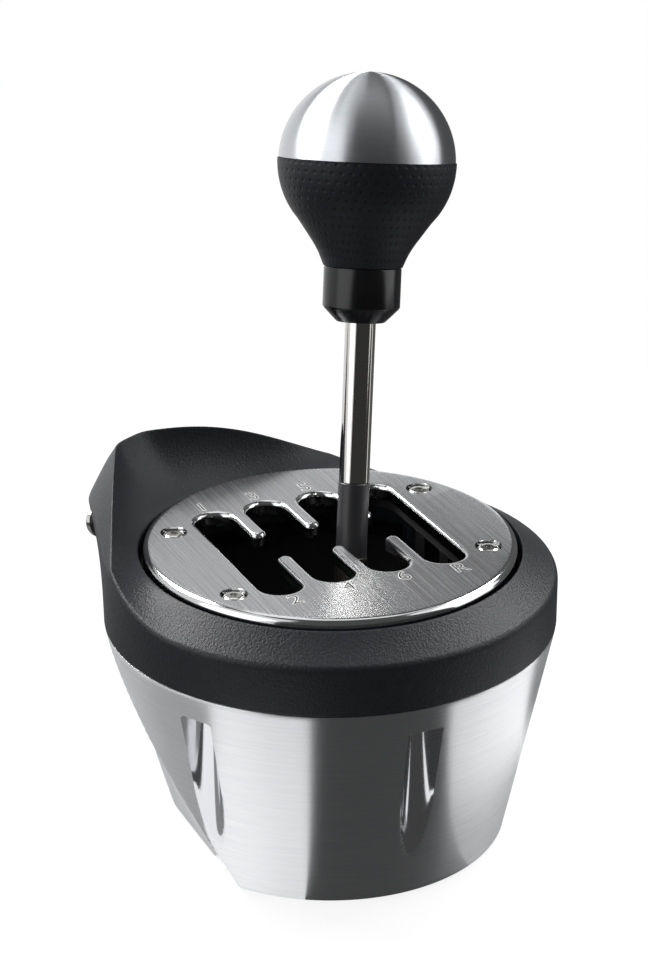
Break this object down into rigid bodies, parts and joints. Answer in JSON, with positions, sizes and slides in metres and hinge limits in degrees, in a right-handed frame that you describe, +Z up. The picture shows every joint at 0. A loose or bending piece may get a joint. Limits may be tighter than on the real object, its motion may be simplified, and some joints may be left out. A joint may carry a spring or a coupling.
{
  "type": "sim racing gear shifter",
  "caption": "Round H-pattern gear shifter with a ball knob on a steel lever, a brushed gate plate, a black hooded collar and a tapered aluminium casing",
  "frame": {"origin": "centre of the gate plate's axis on the face the mat stands on", "axes": "+Z up along the gate plate's axis, +Y towards the hood at the back, +X to the right seen from the front"},
  "size_m": [0.1336, 0.1473, 0.2222],
  "materials": {
    "satin_aluminium": "fine brushed, soft edges",
    "black_moulding": "fine grained",
    "brushed_plate": "brushed along the gear lanes, polished rim",
    "bright_screw": "bright plated",
    "black_screw": "black oxide",
    "steel_part": "turned steel",
    "polished_shaft": "polished",
    "nickel_holder": "warm nickel plate",
    "rubber": "matte",
    "black_sleeve": "satin",
    "gloss_black": "gloss",
    "bronze": "sintered bronze",
    "brass_insert": "machined",
    "circuit_board": "solder mask",
    "black_steel": "powder coat",
    "magnet": "nickel plated",
    "clear_lens": "clear"
  },
  "bodies": {
    "housing": {"lower_casing": "satin_aluminium", "top_housing": "black_moulding", "gate_plate": "brushed_plate", "gate_liner": "rubber", "plate_screws": "bright_screw", "casing_screws": "black_screw", "base_plate": "black_steel", "base_mat": "rubber", "base_screws": "black_screw", "pivot_cradle": "steel_part", "cradle_bushes": "bronze", "unit_pillars": "steel_part", "pillar_screws": "black_screw", "centring_springs": "steel_part", "sensor_board": "circuit_board", "hall_sensor": "gloss_black", "rear_panel": "black_moulding", "panel_screws": "black_screw", "main_board": "circuit_board", "board_screws": "steel_part", "usb_socket": "steel_part", "round_socket": "gloss_black", "mode_switch": "gloss_black", "status_lens": "clear_lens", "hood_bolts": "bright_screw", "hood_washers": "black_screw"},
    "select_yoke": {"select_yoke": "steel_part", "select_pins": "steel_part", "axle_clips": "black_screw", "yoke_bushes": "bronze", "detent_balls": "steel_part", "detent_springs": "steel_part", "detent_plugs": "black_screw"},
    "lever": {"lever_holder": "nickel_holder", "shift_axle": "steel_part", "lever_magnet": "magnet", "lever_sleeve": "black_sleeve", "lever_shaft": "polished_shaft", "knob_collar": "black_moulding", "knob_insert": "brass_insert", "knob_grip": "rubber", "knob_cap": "satin_aluminium"},
    "mode_button": {"mode_button": "gloss_black"}
  },
  "joints": [
    {"name": "select_hinge", "type": "hinge", "parent": "housing", "child": "select_yoke", "pos_m": [-0.0048, -0.00831, 0.028], "axis": [0.5, 0.866, 0], "range_deg": [-30.6, 14.7], "stiffness_Nm_per_rad": 2},
    {"name": "shift_hinge", "type": "hinge", "parent": "select_yoke", "child": "lever", "pos_m": [-0.0048, -0.00831, 0.028], "axis": [-0.8577, 0.4952, 0.1385], "range_deg": [-19.5, 14.4]},
    {"name": "mode_button_slide", "type": "slide", "parent": "housing", "child": "mode_button", "axis": [0, -0.9281, 0.3723], "range_m": [0, 0.0008], "stiffness_N_per_m": 300, "springref_m": -0.001}
  ]
}
